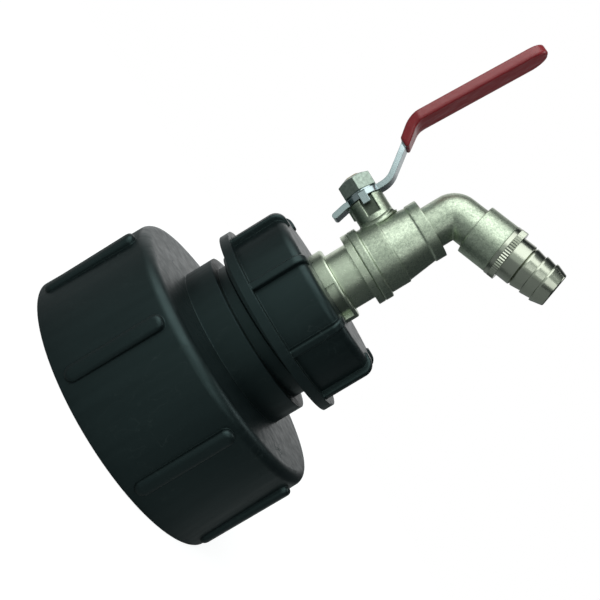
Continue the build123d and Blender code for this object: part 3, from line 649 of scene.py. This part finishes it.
def nickel_on_pressed_nut(colours):
    """Nickel plate on a pressed nut: an even satin grey with tumbling dents on its edges."""
    made, tree, shader, place = new_finish("nickel_on_pressed_nut")
    # Tumbling marks, 1.1 mm wide
    tumbled = put(
        tree,
        "ShaderNodeTexNoise",
        {"Vector": place, "Scale": 0.9, "Detail": 5.0, "Roughness": 0.6},
    )
    tone = put(
        tree,
        "ShaderNodeMapRange",
        {"Value": tumbled, "From Min": 0.35, "From Max": 0.65, "To Min": 0.72},
    )
    shade = put(
        tree, "ShaderNodeVectorMath", {0: tuple(colours.nut), "Scale": tone}, operation="SCALE"
    )
    rough = put(
        tree,
        "ShaderNodeMapRange",
        {"Value": tumbled, "From Min": 0.3, "From Max": 0.7, "To Min": 0.42, "To Max": 0.26},
    )
    round_edge = put(tree, "ShaderNodeBevel", {"Radius": 0.4 * MM}, samples=4)
    dents = put(
        tree,
        "ShaderNodeBump",
        {"Height": tumbled, "Strength": 0.3, "Distance": 0.1 * MM, "Normal": round_edge},
    )
    join(
        tree,
        shader,
        {"Base Color": shade, "Roughness": rough, "Normal": dents, "Metallic": 1.0},
    )
    return made


def dipped_vinyl(colours, sizes):
    """Soft vinyl that the hot lever was dipped in: deep red with a soft gloss, slow ripples
    where it ran, pinholes, and a paler bloom where hands have rubbed it."""
    made, tree, shader, place = new_finish("vinyl_red_dipped")
    ripple = put(
        tree,
        "ShaderNodeTexNoise",
        {"Vector": place, "Scale": MM / sizes.vinyl_ripple, "Detail": 2.0},
    )
    # Pinholes and dust in the skin, 0.5 mm wide
    skin = put(tree, "ShaderNodeTexNoise", {"Vector": place, "Scale": 1 / 0.5, "Detail": 3.0})
    # Handled patches, 7 mm wide
    handled = put(
        tree,
        "ShaderNodeTexNoise",
        {"Vector": place, "Scale": 0.15, "Detail": 5.0, "Roughness": 0.6},
    )
    tone = put(
        tree,
        "ShaderNodeMix",
        {
            MIX_FACTOR: handled,
            MIX_A: toned(colours.vinyl),
            MIX_B: toned(colours.vinyl, 1.2, 0.006),
        },
        data_type="RGBA",
    )
    rough = put(
        tree,
        "ShaderNodeMapRange",
        {"Value": handled, "From Min": 0.3, "From Max": 0.7, "To Min": 0.28, "To Max": 0.36},
    )
    # The skin is thick enough to round the strip's edges
    round_edge = put(tree, "ShaderNodeBevel", {"Radius": 1.5 * MM}, samples=6)
    ran = put(
        tree,
        "ShaderNodeBump",
        {"Height": ripple, "Strength": 0.5, "Distance": 0.5 * MM, "Normal": round_edge},
    )
    holes = put(
        tree,
        "ShaderNodeBump",
        {"Height": skin, "Strength": 0.04, "Distance": 0.02 * MM, "Normal": ran},
    )
    join(
        tree,
        shader,
        {
            "Base Color": tone.outputs[MIX_RESULT],
            "Roughness": rough,
            "Normal": holes,
            "Coat Normal": holes,
            "IOR": 1.53,
            "Coat Weight": 0.3,
            "Coat Roughness": 0.2,
        },
    )
    return made


def machined_ptfe(colours):
    """PTFE, turned from rod: waxy white, faintly cloudy, with a soft sheen."""
    made, tree, shader, place = new_finish("ptfe_turned")
    # Clouds in the wax, 1.2 mm wide
    cloud = put(tree, "ShaderNodeTexNoise", {"Vector": place, "Scale": 0.8, "Detail": 3.0})
    tone = put(
        tree,
        "ShaderNodeMix",
        {MIX_FACTOR: cloud, MIX_A: toned(colours.ptfe, 0.88), MIX_B: toned(colours.ptfe)},
        data_type="RGBA",
    )
    relief = put(
        tree, "ShaderNodeBump", {"Height": cloud, "Strength": 0.1, "Distance": 0.05 * MM}
    )
    join(
        tree,
        shader,
        {
            "Base Color": tone.outputs[MIX_RESULT],
            "Normal": relief,
            "Roughness": 0.4,
            "IOR": 1.38,
        },
    )
    return made


def moulded_cap(point):
    """Where a point of the CAD reducer lies on the real moulding, in metres.

    The ribs on the cap's side are wider, round at their ends and proud to their tops."""
    x, y, z = (c / MM for c in point)
    radius = math.hypot(x, y)
    if radius < CAP_WALL_INSIDE or z > CAP_SHOULDER:
        return Vector(point)
    wall = CAP_RADIUS - z * CAP_SLOPE
    if radius > wall:
        outer = RIB_REACH - z * RIB_SLOPE
        radius = wall + (radius - wall) * (RIB_NEW_REACH - wall) / (outer - wall)
    angle = math.degrees(math.atan2(y, x))
    off = (angle - RIB_PHASE + RIB_STEP / 2) % RIB_STEP - RIB_STEP / 2
    share = min(1.0, max(0.0, (RIB_BLEND - abs(off)) / (RIB_BLEND - RIB_CORE)))
    wider = min(abs(off), RIB_CORE) * (RIB_WIDEN - 1) * share
    turned = math.radians(angle + math.copysign(wider, off))
    for (low, low_move), (high, high_move) in zip(RIB_LENGTHEN, RIB_LENGTHEN[1:]):
        if low <= z < high:
            z += low_move + (high_move - low_move) * (z - low) / (high - low)
            break
    limit = BOX_SHARE * CAD_BOX[1][0] / MM
    x = min(limit, max(-limit, radius * math.cos(turned)))
    y = min(limit, max(-limit, radius * math.sin(turned)))
    return Vector((x, y, z)) * MM


def remoulded(mesh, shape):
    """Copies a CAD mesh with its points moved, and turns each corner's normal with them."""
    made = mesh.copy()
    normals = []
    for corner in mesh.loops:
        at = mesh.vertices[corner.vertex_index].co
        normal = mesh.corner_normals[corner.index].vector.normalized()
        first = normal.orthogonal().normalized() * NORMAL_REACH
        second = normal.cross(first)
        one = shape(at + first) - shape(at - first)
        two = shape(at + second) - shape(at - second)
        turned = one.cross(two)
        normals.append(turned.normalized() if turned.length > 0 else normal)
    for point in made.vertices:
        point.co = shape(point.co)
    made.normals_split_custom_set(normals)
    return made


def ring_of_rows(rows):
    """A closed band of faces between rows of points, each row a loop of as many points."""
    shell = bmesh.new()
    made = [[shell.verts.new(point) for point in row] for row in rows]
    count = len(made[0])
    for low, high in zip(made, made[1:] + made[:1]):
        for i in range(count):
            j = (i + 1) % count
            shell.faces.new((low[i], low[j], high[j], high[i]))
    return shell


class TAPADAPTER_OT_mouldings(bpy.types.Operator):
    """Mould the reducer's ribs as photographed, and finish it and the coupling nut"""

    bl_idname = "tap_adapter.mouldings"
    bl_label = "Black mouldings"

    def execute(self, context):
        scene = context.scene
        plastic = black_polypropylene(scene.tap_adapter_colours, scene.tap_adapter_sizes)
        finish_nodes(plastic, "coupling_nut")
        mesh = remoulded(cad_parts["reducer"].data, moulded_cap)
        mesh.materials.clear()
        mesh.materials.append(plastic)
        cap = bpy.data.objects.new("reducer_moulding", mesh)
        scene.collection.objects.link(cap)
        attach(cap, "reducer")
        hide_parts("reducer")
        return {"FINISHED"}


class TAPADAPTER_OT_rubber(bpy.types.Operator):
    """Finish the gaskets and the O rings as moulded rubber"""

    bl_idname = "tap_adapter.rubber"
    bl_label = "Gaskets and O rings"

    def execute(self, context):
        finish_nodes(
            black_rubber(context.scene.tap_adapter_colours),
            "cap_gasket",
            "nut_gasket",
            "connector_o_ring",
            "stem_o_ring_lower",
            "stem_o_ring_upper",
            "hose_tail_washer",
        )
        return {"FINISHED"}


class TAPADAPTER_OT_casting(bpy.types.Operator):
    """Finish the cast valve body, and add the cast fillet at the foot of its stem boss"""

    bl_idname = "tap_adapter.casting"
    bl_label = "Cast valve body"

    def execute(self, context):
        scene = context.scene
        casting = cast_nickel(scene.tap_adapter_colours, scene.tap_adapter_sizes)
        finish_nodes(casting, "valve_body")
        reach = scene.tap_adapter_sizes.casting_fillet
        angles = [math.tau * i / FILLET_POINTS for i in range(FILLET_POINTS)]
        rows = [
            [self.on_fillet(angle, share, reach) for angle in angles] for share in FILLET_SHARES
        ]
        hidden = [[self.sunk(point) for point in row] for row in (rows[-1], rows[0])]
        shell = ring_of_rows(rows + hidden)
        bmesh.ops.recalc_face_normals(shell, faces=shell.faces)
        mesh = bpy.data.meshes.new("boss_fillet")
        shell.to_mesh(mesh)
        shell.free()
        for face in mesh.polygons:
            face.use_smooth = True
        mesh.materials.append(casting)
        fillet = bpy.data.objects.new("boss_fillet", mesh)
        scene.collection.objects.link(fillet)
        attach(fillet, "tap")
        return {"FINISHED"}

    @staticmethod
    def on_fillet(angle, share, reach):
        """A point of the curve that leaves the boss's side and runs out on the barrel."""
        along_valve, across = math.cos(angle), math.sin(angle)

        def on_barrel(radius):
            side = radius * across
            depth = math.sqrt(BARREL_RADIUS**2 - side**2)
            return Vector((-depth, side, STEM_HEIGHT + radius * along_valve))

        corner = on_barrel(BOSS_RADIUS)
        start = corner + Vector((-reach, 0, 0))
        end = on_barrel(BOSS_RADIUS + reach)
        if along_valve > 0:
            slimmer = WAIST_SLIMMER * along_valve
            end.x += slimmer
            corner.x += slimmer
        return start * (1 - share) ** 2 + corner * (2 * share * (1 - share)) + end * share**2

    @staticmethod
    def sunk(point):
        """The point below one of the fillet's own, inside the casting."""
        height = STEM_HEIGHT + (point.z - STEM_HEIGHT) * FILLET_DRAWN_IN
        return Vector((point.x + FILLET_SUNK, point.y * FILLET_DRAWN_IN, height))


class TAPADAPTER_OT_turned_parts(bpy.types.Operator):
    """Finish the inlet connector, the hose tail and the ball as turned and plated brass"""

    bl_idname = "tap_adapter.turned_parts"
    bl_label = "Turned brass parts"

    def execute(self, context):
        scene = context.scene
        colours, sizes = scene.tap_adapter_colours, scene.tap_adapter_sizes
        valve_axis = (Vector((0, 0, 1)), Vector((0, 0, 0)))
        spout_axis = (SPOUT_WAY, Vector((0, 0, BEND_HEIGHT)))
        # Turned, then blasted before plating: satin, with the rings almost gone
        connector = turned_metal(
            "nickel_on_blasted_brass",
            colours.nickel,
            sizes,
            roughness=(0.24, 0.38),
            axis=valve_axis,
            ring_depth=0.01 * MM,
            etched=0.5,
        )
        finish_nodes(connector, "inlet_connector")
        # Turned and plated: soft reflections in bands along the tail
        tail = turned_metal(
            "bright_nickel_on_turned_brass",
            colours.bright_nickel,
            sizes,
            roughness=(0.12, 0.2),
            axis=spout_axis,
            ring_depth=0.008 * MM,
            etched=0.02,
        )
        finish_nodes(tail, "hose_tail")
        # Ground and chrome plated: a mirror
        ball = turned_metal(
            "chrome_on_ground_brass",
            colours.bright_nickel,
            sizes,
            roughness=(0.04, 0.09),
            axis=valve_axis,
            ring_depth=0.003 * MM,
            etched=0.0,
        )
        finish_nodes(ball, "ball")
        return {"FINISHED"}


class TAPADAPTER_OT_stem(bpy.types.Operator):
    """Finish the brass stem, whose end shows in the lever's nut"""

    bl_idname = "tap_adapter.stem"
    bl_label = "Stem"

    def execute(self, context):
        scene = context.scene
        # Turned and left bare: a dull gold
        brass = turned_metal(
            "brass_turned",
            scene.tap_adapter_colours.brass,
            scene.tap_adapter_sizes,
            roughness=(0.2, 0.34),
            axis=(Vector((-1, 0, 0)), Vector((0, 0, 0))),
            ring_depth=0.012 * MM,
            etched=0.4,
        )
        finish_nodes(brass, "stem")
        return {"FINISHED"}


class TAPADAPTER_OT_seats(bpy.types.Operator):
    """Finish the ball seats and the thrust washer as PTFE"""

    bl_idname = "tap_adapter.seats"
    bl_label = "Seats"

    def execute(self, context):
        ptfe = machined_ptfe(context.scene.tap_adapter_colours)
        finish_nodes(ptfe, "inlet_seat", "outlet_seat", "thrust_washer")
        return {"FINISHED"}


class TAPADAPTER_OT_lever(bpy.types.Operator):
    """Finish the steel lever, its washer and its nut"""

    bl_idname = "tap_adapter.lever"
    bl_label = "Lever"

    def execute(self, context):
        scene = context.scene
        zinc = zinc_on_rolled_steel(scene.tap_adapter_colours, scene.tap_adapter_sizes)
        finish_nodes(zinc, "lever", "lever_washer")
        finish_nodes(nickel_on_pressed_nut(scene.tap_adapter_colours), "lever_nut")
        return {"FINISHED"}


class TAPADAPTER_OT_grip(bpy.types.Operator):
    """Finish the dipped grip on the lever"""

    bl_idname = "tap_adapter.grip"
    bl_label = "Grip"

    def execute(self, context):
        scene = context.scene
        vinyl = dipped_vinyl(scene.tap_adapter_colours, scene.tap_adapter_sizes)
        finish_nodes(vinyl, "lever_grip")
        return {"FINISHED"}


class TAPADAPTER_OT_stage(bpy.types.Operator):
    """Set up the floor, the soft lamps, the white surroundings and the photograph's camera"""

    bl_idname = "tap_adapter.stage"
    bl_label = "Stage"

    def execute(self, context):
        scene = context.scene
        scene.view_settings.view_transform = "Standard"
        self.floor(scene)
        back, across, upward = self.camera(scene)
        self.surroundings(scene, back, upward)
        # A wide soft box over the top of the picture, a fill beside the camera and a rim lamp
        over = upward * 0.75 + across * 0.2 + back * 0.45
        self.lamp(scene, "top_soft_box", over, distance=0.62, size=0.8, watts=3.0)
        beside = back * 0.9 + across * 0.45 - upward * 0.1
        self.lamp(scene, "camera_fill", beside, distance=0.75, size=0.4, watts=0.5)
        behind = across * 0.9 + upward * 0.15 - back * 0.1
        self.lamp(scene, "end_rim", behind, distance=0.7, size=0.3, watts=0.5)
        return {"FINISHED"}

    @staticmethod
    def floor(scene):
        """A pale disc that the adapter stands on: near white to the camera, grey paper to the
        light and to reflections."""
        shell = bmesh.new()
        bmesh.ops.create_circle(
            shell, cap_ends=True, segments=FLOOR_SEGMENTS, radius=FLOOR_RADIUS
        )
        mesh = bpy.data.meshes.new("floor")
        shell.to_mesh(mesh)
        shell.free()
        floor = bpy.data.objects.new("floor", mesh)
        floor.location.z = -FLOOR_DROP
        scene.collection.objects.link(floor)
        made = bpy.data.materials.new("floor_paper")
        made.use_nodes = True
        tree = made.node_tree
        tree.nodes.clear()
        # Paper tooth, drawn 1 mm wide
        tooth = put(
            tree, "ShaderNodeTexNoise", {"Vector": millimetres(tree), "Scale": 1.0, "Detail": 2.0}
        )
        relief = put(
            tree, "ShaderNodeBump", {"Height": tooth, "Strength": 0.1, "Distance": 0.05 * MM}
        )
        paper = put(
            tree,
            "ShaderNodeBsdfDiffuse",
            {"Color": toned(scene.tap_adapter_colours.floor), "Normal": relief},
        )
        shown = put(
            tree,
            "ShaderNodeMath",
            {0: seen_directly(tree), 1: FLOOR_GLOW},
            operation="MULTIPLY",
        )
        glow = put(tree, "ShaderNodeEmission", {"Color": WHITE, "Strength": shown})
        both = put(tree, "ShaderNodeAddShader", {0: paper, 1: glow})
        put(tree, "ShaderNodeOutputMaterial", {"Surface": both})
        mesh.materials.append(made)

    @staticmethod
    def surroundings(scene, back, upward):
        """White to the camera. Reflections see the white backdrop behind the adapter, the
        bright room on the camera's side and above it, and dimness in between."""
        world = bpy.data.worlds.new("studio")
        scene.world = world
        world.use_nodes = True
        tree = world.node_tree
        tree.nodes.clear()
        light = put(tree, "ShaderNodeLightPath")
        place = put(tree, "ShaderNodeTexCoord")

        def towards(way, low, high):
            """Rises from nought to one as a reflection turns to this way."""
            near = put(
                tree,
                "ShaderNodeVectorMath",
                {0: place.outputs["Generated"], 1: tuple(way.normalized())},
                operation="DOT_PRODUCT",
            )
            return put(
                tree,
                "ShaderNodeMapRange",
                {"Value": near.outputs["Value"], "From Min": low, "From Max": high},
                interpolation_type="SMOOTHSTEP",
            )

        room = put(
            tree,
            "ShaderNodeMix",
            {
                MIX_FACTOR: towards(back * 0.78 + upward * 0.6, low=0.2, high=0.98),
                MIX_A: linear(ROOM_DIM),
                MIX_B: linear(ROOM_BRIGHT),
            },
            data_type="RGBA",
        )
        room_and_backdrop = put(
            tree,
            "ShaderNodeMix",
            {
                MIX_FACTOR: towards(upward * 0.45 - back, low=0.7, high=0.97),
                MIX_A: room.outputs[MIX_RESULT],
                MIX_B: WHITE,
            },
            data_type="RGBA",
        )
        lighting = put(tree, "ShaderNodeBackground", {"Color": linear(ROOM_LIGHT)})
        reflected = put(
            tree, "ShaderNodeBackground", {"Color": room_and_backdrop.outputs[MIX_RESULT]}
        )
        white = put(tree, "ShaderNodeBackground", {"Color": WHITE})
        mirrored = put(
            tree,
            "ShaderNodeMixShader",
            {0: light.outputs["Is Glossy Ray"], 1: lighting, 2: reflected},
        )
        shown = put(tree, "ShaderNodeMixShader", {0: seen_directly(tree), 1: mirrored, 2: white})
        put(tree, "ShaderNodeOutputWorld", {"Surface": shown})

    @staticmethod
    def camera(scene):
        """The photograph's camera. Returns the ways towards it, to the picture's right and up."""
        turn, tilt = CAMERA_AZIMUTH, CAMERA_ELEVATION
        back = Vector(
            (math.sin(turn) * math.cos(tilt), -math.cos(turn) * math.cos(tilt), math.sin(tilt))
        )
        level = Vector((math.cos(turn), math.sin(turn), 0))
        over = back.cross(level)
        across = math.cos(CAMERA_ROLL) * level + math.sin(CAMERA_ROLL) * over
        upward = -math.sin(CAMERA_ROLL) * level + math.cos(CAMERA_ROLL) * over
        target = level * CAMERA_TARGET_SIDE + Vector((0, 0, CAMERA_TARGET_HEIGHT))
        data = bpy.data.cameras.new("photo_camera")
        data.lens = CAMERA_LENS
        data.sensor_width = CAMERA_SENSOR
        data.clip_start = CAMERA_NEAREST
        camera = bpy.data.objects.new("photo_camera", data)
        facing = Matrix((across, upward, back)).transposed().to_4x4()
        camera.matrix_world = Matrix.Translation(target + back * CAMERA_DISTANCE) @ facing
        scene.collection.objects.link(camera)
        scene.camera = camera
        return back, across, upward

    @staticmethod
    def lamp(scene, name, way, distance, size, watts):
        """A square lamp that lies this way from the adapter's middle and faces it."""
        data = bpy.data.lights.new(name, "AREA")
        data.shape = "SQUARE"
        data.size = size
        data.energy = watts
        lamp = bpy.data.objects.new(name, data)
        way = way.normalized()
        lamp.location = LAMP_AIM + way * distance
        lamp.rotation_mode = "QUATERNION"
        lamp.rotation_quaternion = (-way).to_track_quat("-Z", "Y")
        scene.collection.objects.link(lamp)


STEPS = (
    TAPADAPTER_OT_stage,
    TAPADAPTER_OT_mouldings,
    TAPADAPTER_OT_rubber,
    TAPADAPTER_OT_casting,
    TAPADAPTER_OT_turned_parts,
    TAPADAPTER_OT_stem,
    TAPADAPTER_OT_seats,
    TAPADAPTER_OT_lever,
    TAPADAPTER_OT_grip,
)


class TAPADAPTER_PT_pieces(bpy.types.Panel):
    """Lists the adapter's colours, sizes and pieces"""

    bl_idname = "TAPADAPTER_PT_pieces"
    bl_label = "Tank tap adapter"
    bl_space_type = "VIEW_3D"
    bl_region_type = "UI"
    bl_category = "Tap adapter"

    def draw(self, context):
        scene = context.scene
        for group in (scene.tap_adapter_colours, scene.tap_adapter_sizes):
            box = self.layout.box()
            for name in group.__annotations__:
                box.prop(group, name)
        for step in STEPS:
            self.layout.operator(step.bl_idname)


CLASSES = (TapAdapterColours, TapAdapterSizes, *STEPS, TAPADAPTER_PT_pieces)


def register():
    for cls in CLASSES:
        bpy.utils.register_class(cls)
    bpy.types.Scene.tap_adapter_colours = bpy.props.PointerProperty(type=TapAdapterColours)
    bpy.types.Scene.tap_adapter_sizes = bpy.props.PointerProperty(type=TapAdapterSizes)


def unregister():
    del bpy.types.Scene.tap_adapter_sizes
    del bpy.types.Scene.tap_adapter_colours
    for cls in reversed(CLASSES):
        bpy.utils.unregister_class(cls)


def main():
    """Makes every piece and the stage."""
    register()
    for step in STEPS:
        group, name = step.bl_idname.split(".")
        getattr(getattr(bpy.ops, group), name)()


if __name__ == "__main__":
    main()
